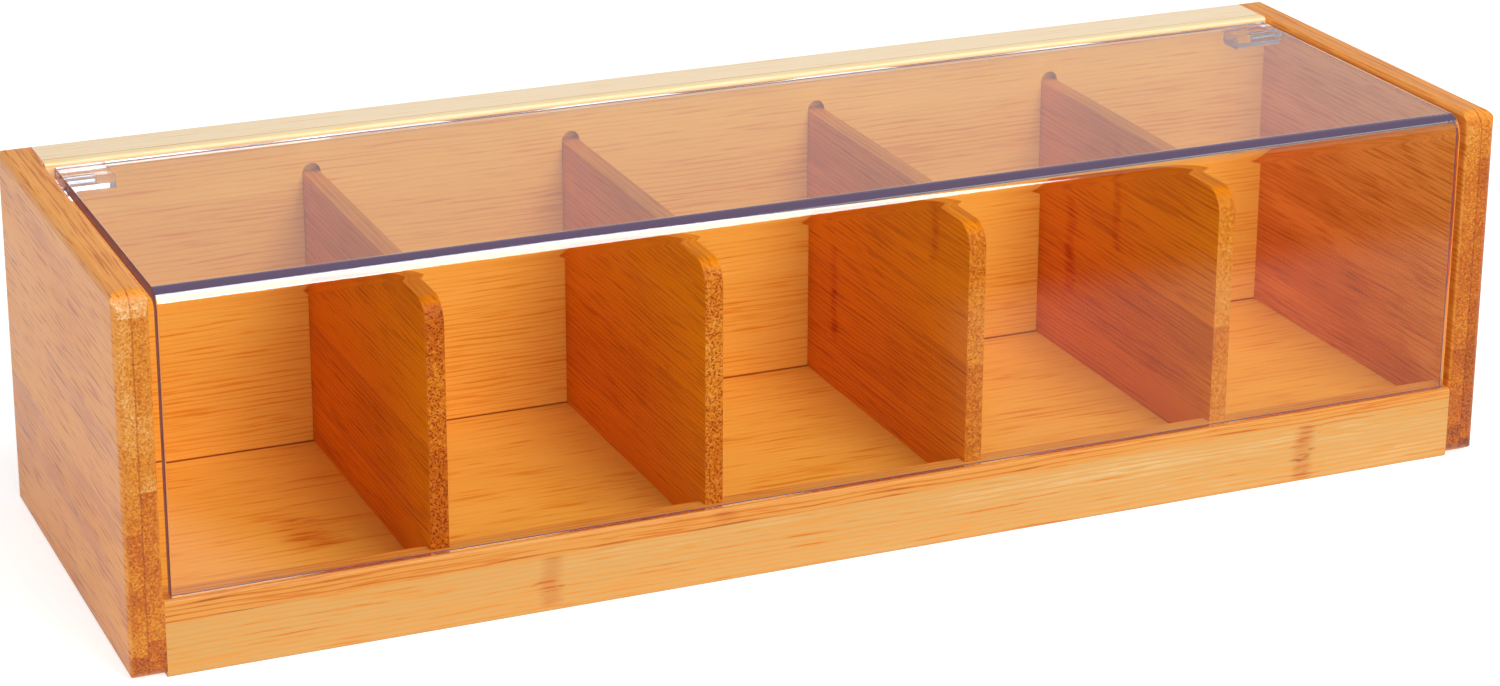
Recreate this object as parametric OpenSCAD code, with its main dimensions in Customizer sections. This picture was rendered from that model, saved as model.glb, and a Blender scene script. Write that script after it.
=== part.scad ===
// Tea bag organizer box: a bamboo box with equal compartments under a clear lid bent to an L.
// The front faces -Y, +Z is up, and the origin is under the middle of the box.

/* [Box] */
// Width of the box over its side panels
box_w = 358; // [260:1:460]
// Depth of the box, front to back
box_d = 115; // [100:1:160]
// Height of the box
box_h = 93; // [80:1:120]

/* [Boards] */
// Thickness of the side panels
side_t = 8.4; // [8:0.2:12]
// Thickness of the back panel
back_t = 16; // [10:0.5:18]
// Thickness of the front rail
rail_t = 8; // [7:0.5:12]
// Height of the front rail
rail_h = 19; // [16:0.5:30]
// Thickness of the floor
floor_t = 5; // [4:0.5:6]
// Height of the floor's underside above the table
floor_z = 6; // [5:0.5:8]
// Thickness of the dividers
divider_t = 4.5; // [4:0.5:6]

/* [Rounded edges] */
// Radius of the side panels' top front corner
top_front_r = 5; // [3:0.5:8]
// Radius of the side panels' bottom corners
bottom_r = 4; // [2:0.5:5]
// Radius of the top back edge, along the whole box
top_back_r = 1.5; // [1:0.5:3]
// Radius along the outer edges of the side panels
outer_edge_r = 2; // [1:0.5:3]
// Radius along the inner edges of the side panels
inner_edge_r = 1.4; // [0.6:0.2:1.6]
// Radius along the front edges of the rail and the inner top edge of the back panel
small_edge_r = 0.8; // [0.4:0.2:1.2]
// Radius of the dividers' top front corner
divider_corner_r = 6; // [2:0.5:12]

/* [Joinery] */
// Depth of the grooves that hold the floor
groove_depth = 3; // [2:0.5:4]
// Depth of the dadoes that hold the dividers
dado_depth = 3; // [2:0.5:4]
// How far the round end of a dado reaches above its divider
dado_rise = 2.5; // [2:0.5:4]
// Play of the boards in their grooves and dadoes
board_play = 0.1; // [0.05:0.05:0.2]
// Diameter of the back panel's dowels
back_dowel_d = 6; // [5:0.5:8]
// Diameter of the front rail's dowels
rail_dowel_d = 4; // [3:0.5:5]
// Length of the dowels
dowel_l = 18; // [14:1:24]
// How far a dowel reaches into a side panel
dowel_bite = 5; // [4:0.5:6]
// Space left at the end of each dowel hole
dowel_end_gap = 0.5; // [0.2:0.1:1]
// Radial play of the dowels
dowel_play = 0.05; // [0.02:0.01:0.1]
// Distance of the outer dowels from the back panel's top and bottom
back_dowel_inset = 24; // [20:1:30]
// Distance of the rail's dowels below its top
rail_dowel_drop = 4.5; // [4:0.5:5]

/* [Lid] */
// Thickness of the clear sheet
lid_t = 3; // [2:0.5:4]
// Outer radius of the bend
lid_bend_r = 5; // [4:0.5:8]
// Gap between each end of the lid and the side panel
lid_gap = 1.8; // [1:0.1:3]
// How far the lid's top lies below the side panels' tops
lid_recess = 0.5; // [0.3:0.1:3]
// How far the lid's front lies behind the side panels' front edges
lid_setback = 0.5; // [0.3:0.1:1.5]
// Opening angle at which the lid leans on the back panel, in degrees
lid_open = 115; // [100:1:120]
// Clearance between the swinging lid and the back panel
swing_gap = 0.2; // [0.1:0.1:0.6]
// Clearance between the swinging lid and the dividers' tops
divider_gap = 0.4; // [0.3:0.1:5]

/* [Hinges] */
// Height of the hinge line below the lid's underside
hinge_drop = 1.6; // [1.5:0.1:2]
// How far the lid reaches behind the hinge line
lid_tail = 6; // [5:0.5:9]
// Length of a hinge block along the hinge line
block_l = 13; // [11:0.5:18]
// Depth of a hinge block, front to back
block_d = 8; // [6.5:0.5:9]
// How far a hinge block reaches in front of the hinge line
block_lead = 3; // [2:0.5:4]
// Height of a hinge block
block_h = 3.8; // [3.4:0.2:5]
// Radius of a hinge block's lower corners
block_r = 1.2; // [0.4:0.2:1.6]
// Diameter of the collar that keeps the lid centred
collar_d = 3; // [2.8:0.1:3.1]
// Gap between a collar and its side panel
collar_gap = 0.3; // [0.2:0.1:0.6]
// Diameter of a hinge pin
pin_d = 2; // [1.6:0.1:2.3]
// How far a pin reaches into its block from the lid's end
pin_grip = 8; // [6:0.5:9]
// How far a pin reaches into its side panel
pin_bite = 4.5; // [4:0.5:5]
// Radial play of a pin that turns in its side panel
pin_play = 0.05; // [0.02:0.01:0.08]
// Radial play of a pin held in its block
pin_hold = 0.01; // [0.005:0.005:0.02]
// Space left beyond each end of a pin
pin_end_gap = 0.5; // [0.2:0.1:1]

/* [Hidden] */
// Each divider is a node of its own, so their number is fixed
divider_count = 4;
compartments = divider_count + 1;
$fn = 48;
// A cut runs this far past a face that it leaves through
over = 1;

// The box's own faces
front_y = -box_d / 2;
back_y = box_d / 2;
wall_y = back_y - back_t;
rail_back_y = front_y + rail_t;
inner_w = box_w - 2 * side_t;
floor_top_z = floor_z + floor_t;

// The lid and its hinge line
lid_w = inner_w - 2 * lid_gap;
lid_top_z = box_h - lid_recess;
lid_under_z = lid_top_z - lid_t;
lid_front_y = front_y + lid_setback;
hinge_z = lid_under_z - hinge_drop;
hinge_to_top = lid_t + hinge_drop;
lean_reach = (hinge_to_top - (hinge_to_top + lid_recess) * cos(lid_open)) / sin(lid_open);
corner_reach = sqrt(lid_tail * lid_tail + hinge_to_top * hinge_to_top);
hinge_y = wall_y - max(lean_reach, corner_reach) - swing_gap;
lid_back_y = hinge_y + lid_tail;

// The dividers stop below the lid's back edge, which is lowest when the lid is fully open
tail_sweep = lid_tail * sin(lid_open) - hinge_to_top * cos(lid_open);
divider_top_z = hinge_z - tail_sweep - divider_gap;
divider_front_y = rail_back_y - dado_depth + board_play;
divider_back_y = wall_y + dado_depth - board_play;
compartment_w = (inner_w - divider_count * divider_t) / compartments;
dado_w = divider_t + 2 * board_play;
dado_top_z = divider_top_z + dado_rise;

// Centre of divider i, counted from 1 at the left
function divider_x(i) = -inner_w / 2 + i * compartment_w + (i - 0.5) * divider_t;

// Where the dowels start in the left side panel, and their heights and depths
dowel_x = -inner_w / 2 - dowel_bite;
back_dowel_zs = [back_dowel_inset, box_h - back_dowel_inset];
back_dowel_y = wall_y + back_t / 2;
rail_dowel_z = rail_h - rail_dowel_drop;
rail_dowel_y = front_y + rail_t / 2;

bamboo = [0.93, 0.68, 0.38];
bamboo_inside = [0.85, 0.53, 0.24];
clear_sheet = [0.86, 0.82, 0.84, 0.35];
steel = [0.75, 0.76, 0.78];

// A rod along X from x0 to x1
module x_rod(r, x0, x1, y, z) {
    translate([x0, y, z])
        rotate([0, 90, 0])
            cylinder(r = r, h = x1 - x0);
}

// What a round-over bit takes off a square edge at the origin that runs along +Z.
// The board lies on the +X, +Y side of the edge.
module edge_cut(r, l) {
    translate([0, 0, -over])
        difference() {
            translate([-over, -over, 0])
                cube([r + over, r + over, l + 2 * over]);
            translate([r, r, -over])
                cylinder(r = r, h = l + 4 * over);
        }
}

// The same cut along an edge that runs along +X, for a board on the sy, sz side of it
module x_edge_cut(r, x0, l, y, z, sy, sz) {
    translate([x0, y, z])
        mirror([0, sy < 0 ? 1 : 0, 0])
            mirror([0, 0, sz < 0 ? 1 : 0])
                rotate([0, 90, 0])
                    mirror([1, 0, 0])
                        edge_cut(r, l);
}

// The same cut along an edge that runs along +Y, for a board on the sx, sz side of it
module y_edge_cut(r, y0, l, x, z, sx, sz) {
    translate([x, y0, z])
        mirror([sx < 0 ? 1 : 0, 0, 0])
            mirror([0, 0, sz < 0 ? 1 : 0])
                rotate([-90, 0, 0])
                    mirror([0, 1, 0])
                        edge_cut(r, l);
}

// The same cut along an upright edge, for a board on the sx, sy side of it
module z_edge_cut(r, z0, l, x, y, sx, sy) {
    translate([x, y, z0])
        mirror([sx < 0 ? 1 : 0, 0, 0])
            mirror([0, sy < 0 ? 1 : 0, 0])
                edge_cut(r, l);
}

// The left side panel's board, with its corners and long edges rounded
module side_board() {
    outer_x = -box_w / 2;
    inner_x = outer_x + side_t;
    difference() {
        translate([outer_x, front_y, 0])
            cube([side_t, box_d, box_h]);
        x_edge_cut(top_front_r, outer_x, side_t, front_y, box_h, 1, -1);
        x_edge_cut(bottom_r, outer_x, side_t, front_y, 0, 1, 1);
        x_edge_cut(bottom_r, outer_x, side_t, back_y, 0, -1, 1);
        x_edge_cut(top_back_r, outer_x, side_t, back_y, box_h, -1, -1);
        y_edge_cut(outer_edge_r, front_y, box_d, outer_x, box_h, 1, -1);
        y_edge_cut(outer_edge_r, front_y, box_d, outer_x, 0, 1, 1);
        y_edge_cut(inner_edge_r, front_y, box_d - back_t, inner_x, box_h, -1, -1);
        z_edge_cut(outer_edge_r, 0, box_h, outer_x, front_y, 1, 1);
        z_edge_cut(outer_edge_r, 0, box_h, outer_x, back_y, 1, -1);
        z_edge_cut(inner_edge_r, rail_h + over, box_h - rail_h, inner_x, front_y, -1, 1);
    }
}

// The left side panel, with its floor groove, dowel holes and hinge bore
module left_side_panel() {
    inner_x = -box_w / 2 + side_t;
    groove_y = rail_back_y - groove_depth;
    color(bamboo)
        difference() {
            side_board();
            translate([inner_x - groove_depth, groove_y, floor_z])
                cube([groove_depth + over, wall_y + groove_depth - groove_y, floor_t + board_play]);
            for (z = back_dowel_zs)
                x_rod(back_dowel_d / 2 + dowel_play, dowel_x - dowel_end_gap, inner_x + over,
                    back_dowel_y, z);
            x_rod(rail_dowel_d / 2 + dowel_play, dowel_x - dowel_end_gap, inner_x + over,
                rail_dowel_y, rail_dowel_z);
            x_rod(pin_d / 2 + pin_play, inner_x - pin_bite - pin_end_gap,
                inner_x + over, hinge_y, hinge_z);
        }
}

module right_side_panel() {
    mirror([1, 0, 0])
        left_side_panel();
}

// Dowel holes in both ends of a board that joins the side panels
module end_dowel_holes(d, y, z) {
    for (s = [0, 1])
        mirror([s, 0, 0])
            x_rod(d / 2 + dowel_play, dowel_x, dowel_x + dowel_l + dowel_end_gap, y, z);
}

// A stopped dado in the back panel, with the round end that the bit leaves
module back_dado(x) {
    translate([x - dado_w / 2, wall_y - over, -over])
        cube([dado_w, dado_depth + over, dado_top_z - dado_w / 2 + over]);
    translate([x, wall_y - over, dado_top_z - dado_w / 2])
        rotate([-90, 0, 0])
            cylinder(d = dado_w, h = dado_depth + over);
}

module back_panel() {
    color(bamboo)
        difference() {
            translate([-inner_w / 2, wall_y, 0])
                cube([inner_w, back_t, box_h]);
            x_edge_cut(top_back_r, -inner_w / 2, inner_w, back_y, box_h, -1, -1);
            x_edge_cut(small_edge_r, -inner_w / 2, inner_w, wall_y, box_h, 1, -1);
            translate([-inner_w / 2 - over, wall_y - over, floor_z])
                cube([inner_w + 2 * over, groove_depth + over, floor_t + board_play]);
            for (i = [1 : divider_count])
                back_dado(divider_x(i));
            for (z = back_dowel_zs)
                end_dowel_holes(back_dowel_d, back_dowel_y, z);
        }
}

module front_rail() {
    color(bamboo)
        difference() {
            translate([-inner_w / 2, front_y, 0])
                cube([inner_w, rail_t, rail_h]);
            x_edge_cut(small_edge_r, -inner_w / 2, inner_w, front_y, rail_h, 1, -1);
            x_edge_cut(small_edge_r, -inner_w / 2, inner_w, front_y, 0, 1, 1);
            translate([-inner_w / 2 - over, rail_back_y - groove_depth, floor_z])
                cube([inner_w + 2 * over, groove_depth + over, floor_t + board_play]);
            for (i = [1 : divider_count])
                translate([divider_x(i) - dado_w / 2, rail_back_y - dado_depth, floor_z])
                    cube([dado_w, dado_depth + over, rail_h]);
            end_dowel_holes(rail_dowel_d, rail_dowel_y, rail_dowel_z);
        }
}

module floor_panel() {
    reach = groove_depth - board_play;
    color(bamboo_inside)
        translate([-inner_w / 2 - reach, rail_back_y - reach, floor_z])
            cube([inner_w + 2 * reach, wall_y - rail_back_y + 2 * reach, floor_t]);
}

// One divider, which stands on the floor with its ends in the dadoes
module divider(i) {
    x = divider_x(i) - divider_t / 2;
    color(bamboo_inside)
        difference() {
            translate([x, divider_front_y, floor_top_z])
                cube([divider_t, divider_back_y - divider_front_y, divider_top_z - floor_top_z]);
            x_edge_cut(divider_corner_r, x, divider_t, divider_front_y, divider_top_z, 1, -1);
        }
}

module divider_1() {
    divider(1);
}

module divider_2() {
    divider(2);
}

module divider_3() {
    divider(3);
}

module divider_4() {
    divider(4);
}

// The clear sheet: a top pane and a front pane that meet in one round bend
module lid_pane() {
    bend_y = lid_front_y + lid_bend_r;
    bend_z = lid_top_z - lid_bend_r;
    color(clear_sheet)
        union() {
            translate([-lid_w / 2, bend_y, lid_under_z])
                cube([lid_w, lid_back_y - bend_y, lid_t]);
            translate([-lid_w / 2, lid_front_y, rail_h])
                cube([lid_w, lid_t, bend_z - rail_h]);
            difference() {
                intersection() {
                    x_rod(lid_bend_r, -lid_w / 2, lid_w / 2, bend_y, bend_z);
                    translate([-lid_w / 2 - over, lid_front_y - over, bend_z])
                        cube([lid_w + 2 * over, lid_bend_r + over, lid_bend_r + over]);
                }
                x_rod(lid_bend_r - lid_t, -lid_w / 2 - over, lid_w / 2 + over, bend_y, bend_z);
            }
        }
}

// The left hinge block, bonded under the lid, with a collar round the pin
module left_hinge_block() {
    end_x = -lid_w / 2;
    collar_x = -inner_w / 2 + collar_gap;
    bottom_z = lid_under_z - block_h;
    block_front_y = hinge_y - block_lead;
    block_back_y = block_front_y + block_d;
    color(clear_sheet)
        difference() {
            union() {
                difference() {
                    translate([end_x, block_front_y, bottom_z])
                        cube([block_l, block_d, block_h]);
                    x_edge_cut(block_r, end_x, block_l, block_front_y, bottom_z, 1, 1);
                    x_edge_cut(block_r, end_x, block_l, block_back_y, bottom_z, -1, 1);
                }
                x_rod(collar_d / 2, collar_x, end_x, hinge_y, hinge_z);
            }
            x_rod(pin_d / 2 + pin_hold, collar_x - over, end_x + pin_grip + pin_end_gap,
                hinge_y, hinge_z);
        }
}

module right_hinge_block() {
    mirror([1, 0, 0])
        left_hinge_block();
}

module left_hinge_pin() {
    color(steel)
        x_rod(pin_d / 2, -inner_w / 2 - pin_bite, -lid_w / 2 + pin_grip, hinge_y, hinge_z);
}

module right_hinge_pin() {
    mirror([1, 0, 0])
        left_hinge_pin();
}

// A dowel in each end of a board that joins the side panels
module end_dowels(d, y, z) {
    for (s = [0, 1])
        mirror([s, 0, 0])
            x_rod(d / 2, dowel_x, dowel_x + dowel_l, y, z);
}

module back_panel_dowels() {
    color(bamboo)
        for (z = back_dowel_zs)
            end_dowels(back_dowel_d, back_dowel_y, z);
}

module front_rail_dowels() {
    color(bamboo)
        end_dowels(rail_dowel_d, rail_dowel_y, rail_dowel_z);
}

left_side_panel();
right_side_panel();
back_panel();
front_rail();
floor_panel();
divider_1();
divider_2();
divider_3();
divider_4();
lid_pane();
left_hinge_block();
right_hinge_block();
left_hinge_pin();
right_hinge_pin();
back_panel_dowels();
front_rail_dowels();
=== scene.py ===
import math

import bmesh
import bpy
from mathutils import Euler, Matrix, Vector


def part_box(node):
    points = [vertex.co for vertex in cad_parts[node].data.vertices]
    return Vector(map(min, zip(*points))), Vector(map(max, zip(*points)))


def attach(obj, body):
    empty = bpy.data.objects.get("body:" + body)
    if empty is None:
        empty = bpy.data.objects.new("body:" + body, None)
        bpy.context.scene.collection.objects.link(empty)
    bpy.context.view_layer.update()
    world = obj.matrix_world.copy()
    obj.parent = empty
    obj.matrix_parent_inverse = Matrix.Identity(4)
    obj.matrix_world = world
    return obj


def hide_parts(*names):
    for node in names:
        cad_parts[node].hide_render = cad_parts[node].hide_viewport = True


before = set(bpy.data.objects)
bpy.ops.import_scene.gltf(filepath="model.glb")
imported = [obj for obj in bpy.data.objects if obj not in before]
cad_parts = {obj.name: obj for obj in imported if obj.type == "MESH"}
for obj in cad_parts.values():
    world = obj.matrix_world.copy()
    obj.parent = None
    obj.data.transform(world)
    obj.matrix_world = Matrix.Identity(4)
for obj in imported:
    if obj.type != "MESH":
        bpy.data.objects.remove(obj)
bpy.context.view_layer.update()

# Lengths are in metres. MM turns a length in millimetres into metres.
MM = 0.001

# Places on the box that its finishes follow
BOX_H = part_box("left_side_panel")[1].z
FLOOR_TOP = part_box("floor_panel")[1].z
WALL_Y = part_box("back_panel")[0].y
INNER_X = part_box("front_rail")[1].x
OUTER_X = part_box("right_side_panel")[1].x
RAIL_H = 19 * MM

# The clear lid: one sheet, bent once, whose front edge stands a hair above the rail
SHEET_T = 3 * MM
BEND_R = 5 * MM
BEND_STEPS = 24
SHEET_ARRIS = 0.35 * MM
RAIL_CLEARANCE = 0.04 * MM
LID_LOW, LID_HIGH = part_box("lid_pane")
FOOT_Z = LID_LOW.z + RAIL_CLEARANCE
BEND_Y = LID_LOW.y + BEND_R
BEND_Z = LID_HIGH.z - BEND_R
# The bend's glossy part starts this share of its radius above the front pane
GLOSS_START = 0.42
# The sheet's edges that turn by more than this have an arris, or stay sharp in the shading
ARRIS_ANGLE = math.radians(60)
SHARP_ANGLE = math.radians(35)

# The camera, in the frame of the photo's 1500 by 686 picture
PHOTO_W = 1500
PHOTO_H = 686
FOCAL_PX = 3674.8
CENTRE_PX = (700, 220)
CAMERA_AT = Vector((-349.93, -801.52, 367.81)) * MM
CAMERA_HEADING = math.radians(22.624)
CAMERA_DIP = math.radians(18.845)
SENSOR_MM = 36


def colour(r, g, b):
    """A colour written as a screen shows it, 0 to 255, in the linear values that shaders take."""
    def linear(x):
        x /= 255
        return x / 12.92 if x <= 0.04045 else ((x + 0.055) / 1.055) ** 2.4
    return (linear(r), linear(g), linear(b), 1)


def grey(level):
    """A grey as shaders take it, from 0 for black to 1 for white."""
    return (level, level, level, 1)


# Node trees

class Signal:
    """One output of a shader node tree, which plain arithmetic adds nodes to."""

    def __init__(self, tree, socket):
        self.tree = tree
        self.socket = socket

    def __add__(self, other):
        return self.tree.math("ADD", self, other)

    def __sub__(self, other):
        return self.tree.math("SUBTRACT", self, other)

    def __mul__(self, other):
        return self.tree.math("MULTIPLY", self, other)

    def __rsub__(self, other):
        return self.tree.math("SUBTRACT", other, self)

    def __abs__(self):
        return self.tree.math("ABSOLUTE", self)


class Finish:
    """A material, and short ways to add nodes to it."""

    def __init__(self, name):
        self.material = bpy.data.materials.new(name)
        self.material.use_nodes = True
        self.nodes = self.material.node_tree.nodes
        self.links = self.material.node_tree.links
        self.nodes.clear()

    def feed(self, socket, value):
        """Links a signal to a socket, or sets the socket to a plain value."""
        if isinstance(value, Signal):
            self.links.new(value.socket, socket)
        else:
            socket.default_value = value

    def add(self, kind, inputs=(), output=0, **settings):
        """Adds a node with its settings and inputs, and gives one of its outputs back."""
        node = self.nodes.new(kind)
        for key, value in settings.items():
            setattr(node, key, value)
        for key, value in dict(inputs).items():
            self.feed(node.inputs[key], value)
        return Signal(self, node.outputs[output])

    def math(self, operation, *values):
        return self.add("ShaderNodeMath", enumerate(values), operation=operation)

    def parts(self, vector):
        """The X, Y and Z of a vector as three signals."""
        node = self.add("ShaderNodeSeparateXYZ", {0: vector}).socket.node
        return [Signal(self, out) for out in node.outputs]

    def place(self):
        """The object's own coordinates as three signals."""
        return self.parts(self.add("ShaderNodeTexCoord", output="Object"))

    def facing(self, axis):
        """How squarely a face is turned along one axis, from 0 to 1."""
        normal = self.parts(self.add("ShaderNodeTexCoord", output="Normal"))
        return abs(normal["XYZ".index(axis)])

    def light_path(self, *kinds):
        """What kind of ray meets the surface, one signal for each kind asked for."""
        node = self.add("ShaderNodeLightPath").socket.node
        return [Signal(self, node.outputs[kind]) for kind in kinds]

    def point(self, x, y, z):
        return self.add("ShaderNodeCombineXYZ", {0: x, 1: y, 2: z})

    def noise(self, point, detail=2.0, rough=0.5):
        """Noise centred on 0, at a scale of one cell a unit."""
        inputs = {"Vector": point, "Scale": 1.0, "Detail": detail, "Roughness": rough}
        return self.add("ShaderNodeTexNoise", inputs) - 0.5

    def cells(self, point):
        """The distance to the nearest of some scattered points, about a unit apart."""
        return self.add("ShaderNodeTexVoronoi", {"Vector": point, "Scale": 1.0}, output="Distance")

    def fade(self, value, start, end, low=0.0, high=1.0):
        """Goes smoothly from low, where value is start, to high, where it is end."""
        inputs = {"Value": value, "From Min": start, "From Max": end, "To Min": low, "To Max": high}
        return self.add("ShaderNodeMapRange", inputs, interpolation_type="SMOOTHSTEP")

    def steps(self, value, length, stops):
        """A grey level that changes at each stop's place, in millimetres, along length."""
        share = self.add("ShaderNodeMapRange", {"Value": value, "From Min": 0.0, "From Max": length})
        greys = [(place * MM / length, grey(level)) for place, level in stops]
        return self.ramp(share, greys, "CONSTANT")

    def ramp(self, value, stops, interpolation="EASE"):
        """Turns a value from 0 to 1 into a colour, by stops of a place and its colour."""
        node = self.nodes.new("ShaderNodeValToRGB")
        node.color_ramp.interpolation = interpolation
        elements = node.color_ramp.elements
        while len(elements) < len(stops):
            elements.new(1.0)
        for element, (place, shade) in zip(elements, sorted(stops)):
            element.position = place
            element.color = shade
        self.feed(node.inputs[0], value)
        return Signal(self, node.outputs[0])

    def blend(self, share, first, second, mode="MIX"):
        """Goes from the first colour to the second, or as MULTIPLY, to the first tinted by it."""
        node = self.nodes.new("ShaderNodeMix")
        node.data_type = "RGBA"
        node.blend_type = mode
        for key, value in ((0, share), (6, first), (7, second)):
            self.feed(node.inputs[key], value)
        return Signal(self, node.outputs[2])

    def bump(self, height, distance, strength):
        inputs = {"Height": height, "Distance": distance, "Strength": strength}
        return self.add("ShaderNodeBump", inputs)

    def surface(self, shader):
        """Makes this shader what shows, and gives the material back."""
        out = self.nodes.new("ShaderNodeOutputMaterial")
        self.feed(out.inputs["Surface"], shader)
        return self.material


# Tones of the caramelised bamboo, each table from its darkest to its palest streaks

# The front rail and the dowels
RAIL_TONES = [
    (0.00, colour(150, 70, 8)),
    (0.30, colour(208, 116, 26)),
    (0.50, colour(217, 148, 62)),
    (0.70, colour(209, 157, 86)),
    (0.85, colour(222, 182, 124)),
    (1.00, colour(255, 241, 214)),
]
# The side panels and the outer ply of the back panel
SIDE_TONES = [
    (0.00, colour(162, 82, 8)),
    (0.30, colour(214, 120, 30)),
    (0.50, colour(240, 156, 62)),
    (0.70, colour(246, 180, 96)),
    (1.00, colour(255, 232, 196)),
]
# The floor and the inner side of the back panel: the wood's own tone, made paler and yellower as
# painted light that makes up for the dim, reddish light inside the box
INSIDE_TONES = [
    (0.00, colour(168, 84, 6)),
    (0.30, colour(228, 142, 34)),
    (0.50, colour(241, 177, 68)),
    (0.70, colour(249, 190, 84)),
    (1.00, colour(255, 230, 180)),
]
# The dividers, the deepest in colour: partly their own deep orange, partly painted shade for their
# left faces, which stand in the box's shade
DIVIDER_TONES = [
    (0.00, colour(144, 62, 0)),
    (0.30, colour(206, 110, 0)),
    (0.50, colour(231, 137, 0)),
    (0.70, colour(244, 158, 8)),
    (1.00, colour(252, 184, 60)),
]
# The end grain of every board
END_TONES = [
    (0.00, colour(118, 50, 4)),
    (0.30, colour(186, 94, 10)),
    (0.50, colour(208, 128, 28)),
    (0.70, colour(216, 152, 72)),
    (0.85, colour(230, 182, 128)),
    (1.00, colour(255, 236, 208)),
]
# What a dark fibre, the scar of a node and the shadow of a joint leave of the wood's colour
FIBRE_TINT = (0.50, 0.21, 0.06, 1)
SCAR_TINT = (0.78, 0.42, 0.12, 1)
JOINT_SHADOW_TINT = (0.48, 0.17, 0.05, 1)

# Patterns in the wood: how many cells of each go into a metre along the grain, and across it
CROWDING = (9, 300)
DRIFT = (22, 50)
STREAKS = (8, 110)
CLOUDS = (24, 60)
SPECKLE = (30, 1700)
FIBRE_BUNDLES = (20, 1650)
SCAR_DASHES = (260, 900)
# Across the grain, a scar's waves to a metre
SCAR_WAVES = 130
# Along the grain, the pores to a metre, and across it, the pores to a fibre line
PORES_ALONG = 60
PORES_PER_LINE = 1.7

# How many cells the noise of a scar's dashes is moved on, through the board
DASH_SHIFT = 5

# How far a step of 1 in the noise moves the fibres sideways, and a scar along the grain
DRIFT_REACH = 2.0 * MM
WAVE_REACH = 4.0 * MM
# How far the fibre lines shift to the side for each metre through the board
FIBRE_LEAN = 0.8
# How strongly their crowding pushes the fibre lines out of even rows
CROWD_PUSH = 9.0
# How soft the ends of a scar are across the strip
SCAR_SOFT_END = 1.5 * MM
# How much each pattern takes from the tone, or adds to it
LINE_DEPTH = 0.24
PORE_DEPTH = 0.16
STREAK_DEPTH = 0.20
CLOUD_DEPTH = 0.22
SPECKLE_DEPTH = 0.7
# How strongly a glue line and a scar's dashes take the fibre tint
GLUE_STRENGTH = 0.5
DASH_STRENGTH = 0.6

# A strip's wood comes from this much farther along its culm for each step of 1 in tone
CULM_STRETCH = 17.0
# The tone that strips even out to, where a board's faces are even
EVEN_TONE = 0.45


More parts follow.
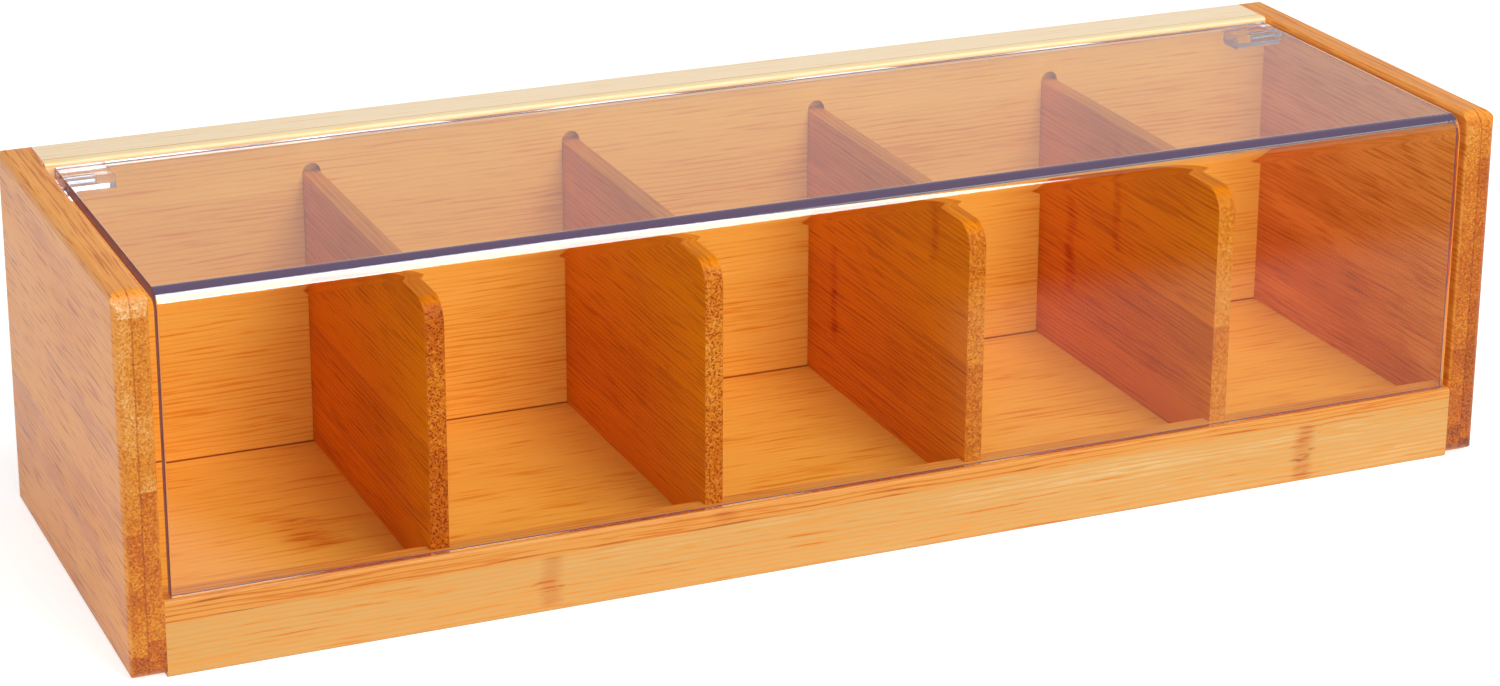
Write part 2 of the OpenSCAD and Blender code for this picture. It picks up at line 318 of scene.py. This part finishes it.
class Bamboo(Finish):
    """A finish for bamboo boards whose grain runs along axes[0], with strips along axes[1]."""

    def __init__(self, name, axes):
        super().__init__(name)
        self.at = dict(zip("XYZ", self.place()))
        self.along, self.across, self.through = (self.at[axis] for axis in axes)
        self.end_grain = self.fade(self.facing(axes[0]), 0.5, 0.9)

    def lay_strips(self, strips, length, slope, ply_at, ply_strips, seed):
        """Gives each strip its tone. Past ply_at, the outer ply has strips of its own."""
        level = self.across + self.along * slope
        self.tone = self.steps(level, length, strips)
        self.outer = self.glue = 0.0
        if ply_at is not None:
            self.outer = self.math("GREATER_THAN", abs(self.through), ply_at)
            self.tone = self.blend(self.outer, self.tone, self.steps(level, length, ply_strips))
            self.glue = self.fade(abs(abs(self.through) - ply_at), 0.30 * MM, 0.08 * MM)
        self.shift = self.tone * CULM_STRETCH + seed

    def grain_point(self, scale, across, shift=None):
        """A place in a pattern that is drawn out along the grain."""
        along = self.along * scale[0]
        if shift is not None:
            along = along + shift
        return self.point(along, across * scale[1], self.through * scale[1])

    def pattern(self, scale, across, detail=2.0, rough=0.5):
        """Noise drawn out along the grain, which breaks off where the next strip starts."""
        return self.noise(self.grain_point(scale, across, self.shift), detail, rough)

    def grow_fibres(self, fibre_gap):
        """Thin wavy lines and short pores along the grain, on a path that wanders a little."""
        crowd = self.pattern(CROWDING, self.across)
        drift = self.pattern(DRIFT, self.across, 4.0) * DRIFT_REACH
        self.wander = self.across + self.through * FIBRE_LEAN + drift
        ripple = self.math("SINE", self.wander * (2 * math.pi / fibre_gap) + crowd * CROWD_PUSH)
        self.lines = self.fade(ripple, 0.30, 1.0) * self.fade(crowd, -0.25, 0.15, 0.50, 1.0)
        pore_scale = (PORES_ALONG, PORES_PER_LINE / fibre_gap)
        self.pores = self.fade(self.pattern(pore_scale, self.wander), 0.0, 0.24)
        self.streak = self.pattern(STREAKS, self.wander)
        self.cloud = self.pattern(CLOUDS, self.across, 4.0, 0.6)

    def wood_shade(self, tones, ply_tones, evenness, lined, mottled, end_tone, dots):
        """The wood's colour on its faces and, with the fibre ends as dark dots, on its end grain."""
        tone = self.tone + (EVEN_TONE - self.tone) * (1.0 - self.end_grain) * evenness
        bundle = self.fade(self.cells(self.grain_point(FIBRE_BUNDLES, self.across)), 0.52, 0.26)
        speckle = self.noise(self.grain_point(SPECKLE, self.across), 1.0)
        self.face_grain = self.lines * lined * LINE_DEPTH + self.pores * mottled * PORE_DEPTH
        mottle = (self.streak * STREAK_DEPTH + self.cloud * CLOUD_DEPTH) * mottled
        ends = speckle * SPECKLE_DEPTH - end_tone
        value = tone + mottle - self.blend(self.end_grain, self.face_grain, ends)
        shade = self.blend(self.outer, self.ramp(value, tones), self.ramp(value, ply_tones))
        shade = self.blend(self.end_grain, shade, self.ramp(value, END_TONES))
        shade = self.blend(bundle * self.end_grain * dots, shade, FIBRE_TINT, "MULTIPLY")
        return self.blend(self.glue * GLUE_STRENGTH, shade, FIBRE_TINT, "MULTIPLY")

    def scar(self, shade, along, across, half, spread):
        """The scar of a culm's node: a soft dark band across the strip, with dark dashes about it."""
        wave = self.noise(self.point(self.across * SCAR_WAVES, self.through * SCAR_WAVES, self.shift))
        off = abs(self.along - along + wave * WAVE_REACH)
        inside = self.fade(abs(self.across - across), half, half - SCAR_SOFT_END)
        uneven = self.fade(self.pores + self.streak, 0.0, 0.6, 0.4, 1.0)
        band = self.fade(off, spread, spread * 0.1) * uneven
        dash_along, dash_across = SCAR_DASHES
        dash_point = self.point(
            self.along * dash_along, self.wander * dash_across,
            self.through * dash_across + DASH_SHIFT,
        )
        dashes = self.fade(self.noise(dash_point, 1.0), 0.12, 0.26)
        near = self.fade(off, spread * 1.4, spread * 0.4) * dashes
        shade = self.blend(band * inside, shade, SCAR_TINT, "MULTIPLY")
        return self.blend(near * inside * DASH_STRENGTH, shade, FIBRE_TINT, "MULTIPLY")

    def joint_shadow_line(self, shade, axis, place, width):
        """A painted shadow line on the board's inner side, where another board meets it."""
        dark = self.fade(abs(self.at[axis] - place), width, width * 0.4) * (1.0 - self.outer)
        return self.blend(dark, shade, JOINT_SHADOW_TINT, "MULTIPLY")

    def lacquered(self, shade, lacquer):
        """Satin lacquer over the wood, with the fibres a little sunk."""
        shader = self.add("ShaderNodeBsdfPrincipled", {
            "Base Color": shade,
            "Roughness": self.fade(self.streak, -0.3, 0.3, 0.42, 0.54),
            "Specular IOR Level": lacquer,
            "Coat Weight": lacquer,
            "Coat Roughness": 0.30,
            "Normal": self.bump(0.0 - self.face_grain, 0.06 * MM, 0.5),
        })
        return self.surface(shader)


def bamboo(
    name, axes, tones, strips, length, slope=0.0, ply_at=None, ply_strips=(), ply_tones=None,
    scars=(), joints=(), evenness=0.0, dots=0.6, end_tone=0.0, fibre_gap=1.3 * MM, lined=1.0,
    mottled=1.0, lacquer=0.3, seed=0.0,
):
    """The finish of bamboo boards with the grain along axes[0] and strips along axes[1].

    strips holds (start, tone) pairs, with the start in millimetres, from 0 up to length. Where the
    board has two plies, ply_at is how far out their glue line is along the third axis, and
    ply_strips and ply_tones are the outer ply's.
    scars holds (along, across, half height, half width) of the culm's nodes, in millimetres.
    joints holds (axis, place, width) of painted shadow lines on the inner side.
    evenness is how far the strips' tones even out on the faces along the grain. dots is how dark the
    fibre ends are, and end_tone how much paler the end grain is than the faces. fibre_gap is how far
    apart the fibre lines run, lined how strongly they show, and mottled how strongly the streaks do.
    """
    wood = Bamboo(name, axes)
    wood.lay_strips(strips, length, slope, ply_at, ply_strips, seed)
    wood.grow_fibres(fibre_gap)
    shade = wood.wood_shade(tones, ply_tones or tones, evenness, lined, mottled, end_tone, dots)
    for scar in scars:
        shade = wood.scar(shade, *(size * MM for size in scar))
    for joint in joints:
        shade = wood.joint_shadow_line(shade, *joint)
    return wood.lacquered(shade, lacquer)


# The boards' finishes

# Painted shadow lines, where boards meet in a corner, are this wide
JOINT_SHADOW_W = 0.35 * MM
# The back panel's two plies and the side panels' are glued here
WALL_GLUE_Y = WALL_Y + 3.2 * MM
SIDE_GLUE_X = INNER_X + 0.5 * (OUTER_X - INNER_X)
# For each side panel: the inner ply's strips, the outer ply's, the mottling and the seed
SIDE_BOARDS = {
    "left": (
        # The top strip, from 87.5 mm up, is pale as a painted highlight on the rounded front-top
        # corner
        [(0, 0.26), (9.8, 0.40), (28.2, 0.37), (45.9, 0.55), (64, 0.51), (87.5, 0.74)],
        [(0, 0.24), (6, 0.39), (20, 0.35), (36, 0.50), (56, 0.57), (87.5, 0.74)],
        2.1, 41.0,
    ),
    "right": (
        [(0, 0.18), (8, 0.28), (29.2, 0.35), (45.2, 0.31), (57.2, 0.38), (80.9, 0.48)],
        [(0, 0.12), (4, 0.24), (29.2, 0.28), (45.2, 0.34), (66, 0.31), (80.9, 0.48)],
        1.6, 53.0,
    ),
}
# For each divider, from the left: its fibre dots, end tone and scars
DIVIDER_BOARDS = {
    1: (1.0, -0.14, []),
    2: (1.0, -0.02, []),
    3: (0.6, -0.04, [(25, 37, 14, 3), (-33, 72, 8, 3)]),
    4: (0.3, 0.02, [(24, 42, 14, 4), (-1, 62, 14, 3)]),
}


def rail_wood():
    """Two strips whose seam runs a little askew, with three scars."""
    return bamboo(
        "rail_wood", "XZY", RAIL_TONES, [(0, 0.72), (14.8, 0.52)], RAIL_H, slope=-0.008,
        scars=[(-78, 8, 7, 4), (127, 8, 8, 4), (-33, 17, 2.2, 5)], mottled=1.3, seed=3.0,
    )


def back_wood():
    """Warm strips inside and plain brown ones behind, under a pale top. The inside strips' paler,
    yellower tones are partly painted light.
    """
    return bamboo(
        "back_wood", "XZY", INSIDE_TONES,
        [(0, 0.54), (18, 0.51), (38, 0.56), (58, 0.52), (76, 0.57), (88, 1.06)], BOX_H,
        ply_at=WALL_GLUE_Y, ply_tones=SIDE_TONES,
        ply_strips=[(0, 0.40), (21, 0.47), (44, 0.43), (67, 0.50), (91.4, 1.06)],
        # A painted shadow line in the corner where the floor meets the back panel
        joints=[("Z", FLOOR_TOP, 1.5 * JOINT_SHADOW_W)], lined=0.65, lacquer=0.2, seed=11.0,
    )


def floor_wood():
    """One wide, plain board with a broad scar in the left compartment."""
    return bamboo(
        "floor_wood", "XYZ", INSIDE_TONES, [(0, 0.54)], 58 * MM,
        # A painted shadow line in the corner where the floor meets the back panel
        scars=[(-124, -14, 10, 10)], joints=[("Y", WALL_Y, JOINT_SHADOW_W)],
        fibre_gap=2.4 * MM, lined=0.5, mottled=1.2, lacquer=0.2, seed=23.0,
    )


def side_wood(side):
    """Two plies whose strips show as blocks on the front edge and hardly at all on the faces."""
    inner_strips, outer_strips, mottled, seed = SIDE_BOARDS[side]
    return bamboo(
        f"{side}_side_wood", "YZX", SIDE_TONES, inner_strips, BOX_H,
        ply_at=SIDE_GLUE_X, ply_strips=outer_strips,
        evenness=0.8, dots=0.5, lined=0.35, mottled=mottled, lacquer=0.26, seed=seed,
    )


def divider_wood(number):
    """A matt board of deep orange, partly its own colour and partly painted shade for its left face.
    """
    dots, end_tone, scars = DIVIDER_BOARDS[number]
    strips = [(0, 0.46 + 0.01 * number), (22, 0.42), (44, 0.50), (66, 0.44)]
    return bamboo(
        f"divider_wood_{number}", "YZX", DIVIDER_TONES, strips, BOX_H, scars=scars, dots=dots,
        end_tone=end_tone, lined=0.5, mottled=1.25, lacquer=0.06, seed=31.0 + number,
    )


# Clear plastic and steel

ACRYLIC_IOR = 1.49
# The index of the gloss layer on the bend, which makes its white band as bright as the photo's
GLOSS_IOR = 2.0
# After more than this many mirror bounces in the sheet, a ray makes it glow in this colour: a painted
# glow, no lamp, that stands in for the purple-grey reflection along the bend
GLOW_AFTER_DEPTH = 2
PAINTED_GLOW_COLOUR = colour(84, 66, 92)
PAINTED_GLOW_STRENGTH = 0.5
# How strongly a face mirrors what is straight before it. Faces at a slant mirror in full.
FAINT = 0.02
FULL = 1.0

CLEAR = (0.99, 0.98, 0.985, 1)
# The top face greys what is seen through it but not the lamps' light: painted shade over the inside
# of the box, as seen through the top
PAINTED_SHADE_GREY = (0.81, 0.865, 0.92, 1)
# The cut edges' brown is a painted reflection: it stands in for the wood's colour that a clear edge
# picks up from the box around it
PAINTED_EDGE_BROWN = (0.56, 0.26, 0.16, 1)
BLOCK_CLEAR = (0.93, 0.92, 0.95, 1)
# The wire's drawn lines: how many go into a metre along the pin, and across it
WIRE_LINES = (90, 9000)


def clear_plastic(name, tint, roughness=0.0, reflects=FAINT, gloss=0.0, lamp_tint=None):
    """Clear plastic that bends what is seen through it and lets the lamps' light pass straight.

    lamp_tint is the tint for the lamps' light, where it differs from what is seen through.
    """
    f = Finish(name)
    bounces, lamp_light, bounced = f.light_path("Glossy Depth", "Is Shadow Ray", "Is Diffuse Ray")
    # The sheet's glow after many mirror bounces is painted light, seen mostly as the purple line
    # along the bend
    painted_glow = f.math("GREATER_THAN", bounces, GLOW_AFTER_DEPTH)
    glass = f.add("ShaderNodeBsdfPrincipled", {
        "Base Color": tint,
        "Roughness": roughness,
        "IOR": ACRYLIC_IOR,
        "Specular Tint": grey(reflects),
        "Transmission Weight": 1.0,
        "Coat Weight": gloss,
        "Coat IOR": GLOSS_IOR,
        "Coat Roughness": 0.0,
        "Emission Color": PAINTED_GLOW_COLOUR,
        "Emission Strength": painted_glow * PAINTED_GLOW_STRENGTH,
    })
    open_air = f.add("ShaderNodeBsdfTransparent", {"Color": lamp_tint or tint})
    passes = f.math("MAXIMUM", lamp_light, bounced)
    mixed = f.add("ShaderNodeMixShader", {0: passes, 1: glass, 2: open_air})
    return f.surface(mixed)


def lid_finishes():
    """The sheet's finishes, in the order of its material slots."""
    return {
        "inner_face": clear_plastic("acrylic", CLEAR),
        "cut_edge": clear_plastic("cut_edge", PAINTED_EDGE_BROWN),
        "bend": clear_plastic("acrylic_bend", CLEAR, reflects=FULL, gloss=1.0),
        "front_face": clear_plastic("acrylic_front", CLEAR, reflects=FULL),
        "top_face": clear_plastic("acrylic_top", PAINTED_SHADE_GREY, reflects=FULL, lamp_tint=CLEAR),
    }


def drawn_steel():
    """Steel wire with fine lines along the pin."""
    f = Finish("drawn_steel")
    x, y, z = f.place()
    along, across = WIRE_LINES
    lines = f.noise(f.point(x * along, y * across, z * across))
    shader = f.add("ShaderNodeBsdfPrincipled", {
        "Base Color": colour(196, 198, 202),
        "Metallic": 1.0,
        "Roughness": f.fade(lines, -0.3, 0.3, 0.22, 0.38),
        "Normal": f.bump(lines, 0.01 * MM, 0.4),
    })
    return f.surface(shader)


# Pieces

def use_finish(material, *nodes):
    """Gives CAD nodes a finish through their own material slots."""
    for name in nodes:
        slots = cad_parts[name].material_slots
        if not slots:
            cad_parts[name].data.materials.append(material)
        for slot in slots:
            slot.material = material


def place_mesh(name, bm, *materials):
    """Makes a finished bmesh an object of the scene."""
    mesh = bpy.data.meshes.new(name)
    bm.to_mesh(mesh)
    bm.free()
    for material in materials:
        mesh.materials.append(material)
    placed = bpy.data.objects.new(name, mesh)
    bpy.context.scene.collection.objects.link(placed)
    return placed


def new_piece(name, bm, body, node, slot, *materials):
    """Makes a finished bmesh a piece that rides on a body and stands for a CAD node."""
    piece = place_mesh(name, bm, *materials)
    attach(piece, body)
    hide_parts(node)
    return piece


def shade_smooth(piece):
    """Smooth shading in which the large flat faces stay flat right up to the bends."""
    piece.data.shade_smooth()
    bm = bmesh.new()
    bm.from_mesh(piece.data)
    for edge in bm.edges:
        edge.smooth = edge.calc_face_angle(0) < SHARP_ANGLE
    bm.to_mesh(piece.data)
    bm.free()
    weighted = piece.modifiers.new("flat_faces_stay_flat", "WEIGHTED_NORMAL")
    weighted.keep_sharp = True


def draw_edge(bm, edge, offset):
    """Draws an edge out to a new one, and gives the new one back."""
    made = bmesh.ops.extrude_edge_only(bm, edges=[edge])["geom"]
    moved = [g for g in made if isinstance(g, bmesh.types.BMVert)]
    bmesh.ops.translate(bm, verts=moved, vec=offset)
    edges = [g for g in made if isinstance(g, bmesh.types.BMEdge)]
    return next(e for e in edges if not set(e.verts) & set(edge.verts))


def sheet_part(middle):
    """Which finish of the sheet a face takes, by where its middle is."""
    at_an_end = middle.x in (LID_LOW.x, LID_HIGH.x)
    at_the_back = middle.y > LID_HIGH.y - SHEET_ARRIS
    at_the_foot = middle.z < FOOT_Z + SHEET_ARRIS
    if at_an_end or at_the_back or at_the_foot:
        return "cut_edge"
    if middle.z > BEND_Z + GLOSS_START * BEND_R and middle.y < BEND_Y:
        return "bend"
    if middle.y < LID_LOW.y + SHEET_ARRIS and middle.z < BEND_Z:
        return "front_face"
    if middle.z > LID_HIGH.z - SHEET_ARRIS and middle.y > BEND_Y:
        return "top_face"
    return "inner_face"


def clear_lid():
    """The clear sheet: its section is drawn up, round the bend and back, then out across the box."""
    bm = bmesh.new()
    foot = [bm.verts.new((LID_LOW.x, y, FOOT_Z)) for y in (LID_LOW.y, LID_LOW.y + SHEET_T)]
    edge = draw_edge(bm, bm.edges.new(foot), Vector((0, 0, BEND_Z - FOOT_Z)))
    spun = bmesh.ops.spin(
        bm, geom=[edge], cent=(LID_LOW.x, BEND_Y, BEND_Z), axis=(1, 0, 0), angle=-math.pi / 2,
        steps=BEND_STEPS,
    )
    edge = next(g for g in spun["geom_last"] if isinstance(g, bmesh.types.BMEdge))
    draw_edge(bm, edge, Vector((0, LID_HIGH.y - BEND_Y, 0)))
    bmesh.ops.remove_doubles(bm, verts=bm.verts, dist=1e-7)
    drawn = bmesh.ops.extrude_face_region(bm, geom=bm.faces[:])["geom"]
    across = [g for g in drawn if isinstance(g, bmesh.types.BMVert)]
    bmesh.ops.translate(bm, verts=across, vec=(LID_HIGH.x - LID_LOW.x, 0, 0))
    bmesh.ops.recalc_face_normals(bm, faces=bm.faces)
    finishes = lid_finishes()
    for face in bm.faces:
        part = sheet_part(face.calc_center_median())
        face.material_index = list(finishes).index(part)
    arrises = [e for e in bm.edges if e.calc_face_angle(0) > ARRIS_ANGLE]
    bmesh.ops.bevel(
        bm, geom=arrises, offset=SHEET_ARRIS, segments=2, profile=0.5, affect="EDGES", material=-1,
    )
    bmesh.ops.recalc_face_normals(bm, faces=bm.faces)
    lid = new_piece("clear_lid", bm, "lid", "lid_pane", "clear_acrylic", *finishes.values())
    shade_smooth(lid)


# The studio

# How bright the room's walls are, by the sine of the height angle they are seen at
AIR_LEVELS = ((0.10, 1.0), (0.30, 0.58), (0.72, 0.18))
# The lamps point here
LAMPS_AIM = Vector((0, 0, 0.05))
PAPER_GREY = 0.8
# What the floor adds to its own shade, so that it looks white
FLOOR_LIFT = 0.66
FLOOR_R = 30
# The card's size, as a grid is scaled, and its middle, a millimetre above the floor
CARD_SIZE = (0.68, 0.26, 1)
CARD_MIDDLE = (0.08, -0.222, 0.001)
# How far sideways the borders of the card's two cuts run for each metre that they go back
LEFT_SLANT = 0.38
RIGHT_SLANT = 0.425
# How much of the card is cut away at the right
RIGHT_CUT = 0.55


def soft_box(name, at, size, power):
    """A soft rectangular lamp that points at the box, sized in metres, its power in watts."""
    lamp = bpy.data.lights.new(name, "AREA")
    lamp.shape = "RECTANGLE"
    lamp.size, lamp.size_y = size
    lamp.energy = power
    holder = bpy.data.objects.new(name, lamp)
    holder.location = at
    holder.rotation_euler = (LAMPS_AIM - Vector(at)).to_track_quat("-Z", "Y").to_euler()
    bpy.context.scene.collection.objects.link(holder)


def studio_air():
    """A room whose walls are white low down and grey above, the same for every ray."""
    world = bpy.data.worlds.new("studio")
    bpy.context.scene.world = world
    world.use_nodes = True
    nodes, links = world.node_tree.nodes, world.node_tree.links
    spot = nodes.new("ShaderNodeTexCoord")
    parts = nodes.new("ShaderNodeSeparateXYZ")
    ramp = nodes.new("ShaderNodeValToRGB")
    ramp.color_ramp.elements.new(0.5)
    for element, (height, level) in zip(ramp.color_ramp.elements, AIR_LEVELS):
        element.position = height
        element.color = grey(level)
    links.new(spot.outputs["Generated"], parts.inputs[0])
    links.new(parts.outputs["Z"], ramp.inputs[0])
    links.new(ramp.outputs[0], nodes["Background"].inputs["Color"])


def studio_floor():
    """Pale paper that keeps the box's shadow and looks white, in mirrors and through glass too."""
    f = Finish("studio_floor")
    paper = f.add("ShaderNodeBsdfDiffuse", {"Color": grey(PAPER_GREY)})
    seen, glossy, through = f.light_path("Is Camera Ray", "Is Glossy Ray", "Is Transmission Ray")
    lift = f.math("MINIMUM", seen + glossy + through, 1.0) * FLOOR_LIFT
    glow = f.add("ShaderNodeEmission", {"Color": grey(1), "Strength": lift})
    both = f.add("ShaderNodeAddShader", {0: paper, 1: glow})
    bm = bmesh.new()
    bmesh.ops.create_circle(bm, cap_ends=True, radius=FLOOR_R, segments=64)
    floor = place_mesh("studio_floor", bm, f.surface(both))


def dark_card():
    """A dark card on the floor in front, which shows only as a reflection.

    The front pane mirrors the white floor as a pale veil. The card takes the veil away but for the
    pane's lower left corner and, half as strong, its lower right part, where the photo has it.
    """
    f = Finish("dark_card")
    x, y, z = f.place()
    left_corner = f.fade(x - y * LEFT_SLANT, -78 * MM, -108 * MM)
    right_part = f.fade(x + y * RIGHT_SLANT, 5 * MM, 30 * MM) * f.fade(y, -222 * MM, -186 * MM)
    cut_away = left_corner + right_part * RIGHT_CUT
    dark = f.add("ShaderNodeBsdfDiffuse", {"Color": grey(0)})
    nothing = f.add("ShaderNodeBsdfTransparent")
    card_face = f.add("ShaderNodeMixShader", {0: cut_away, 1: dark, 2: nothing})
    bm = bmesh.new()
    bmesh.ops.create_grid(bm, x_segments=1, y_segments=1, size=0.5)
    bmesh.ops.scale(bm, verts=bm.verts, vec=CARD_SIZE)
    bmesh.ops.translate(bm, verts=bm.verts, vec=CARD_MIDDLE)
    card = place_mesh("dark_card", bm, f.surface(card_face))
    card.visible_camera = False
    card.visible_diffuse = False
    card.visible_transmission = False
    card.visible_shadow = False


def photo_camera():
    """The photo's own view."""
    camera = bpy.data.cameras.new("photo_camera")
    camera.sensor_width = SENSOR_MM
    camera.lens = FOCAL_PX * SENSOR_MM / PHOTO_W
    camera.shift_x = (PHOTO_W / 2 - CENTRE_PX[0]) / PHOTO_W
    camera.shift_y = (CENTRE_PX[1] - PHOTO_H / 2) / PHOTO_W
    camera.clip_start = 0.01
    holder = bpy.data.objects.new("photo_camera", camera)
    holder.location = CAMERA_AT
    holder.rotation_euler = Euler((math.pi / 2 - CAMERA_DIP, 0, -CAMERA_HEADING))
    bpy.context.scene.collection.objects.link(holder)
    bpy.context.scene.camera = holder


# The box
use_finish(rail_wood(), "front_rail", "back_panel_dowels", "front_rail_dowels")
use_finish(back_wood(), "back_panel")
use_finish(floor_wood(), "floor_panel")
for side in SIDE_BOARDS:
    use_finish(side_wood(side), f"{side}_side_panel")
for number in DIVIDER_BOARDS:
    use_finish(divider_wood(number), f"divider_{number}")

# The lid and its hinge
clear_lid()
moulded_clear = clear_plastic("moulded_clear", BLOCK_CLEAR, roughness=0.08, reflects=FULL)
use_finish(moulded_clear, "left_hinge_block", "right_hinge_block")
use_finish(drawn_steel(), "left_hinge_pin", "right_hinge_pin")

# The room, the lamps and the camera
bpy.context.scene.view_settings.view_transform = "Standard"
studio_air()
studio_floor()
dark_card()
soft_box("key_light", at=(0.22, -0.62, 1.02), size=(0.55, 1.0), power=9.0)
soft_box("front_light", at=(0.0, -2.2, 1.1), size=(1.2, 0.8), power=17.5)
soft_box("left_light", at=(-2.2, -0.5, 1.0), size=(1.2, 1.0), power=6.3)
photo_camera()
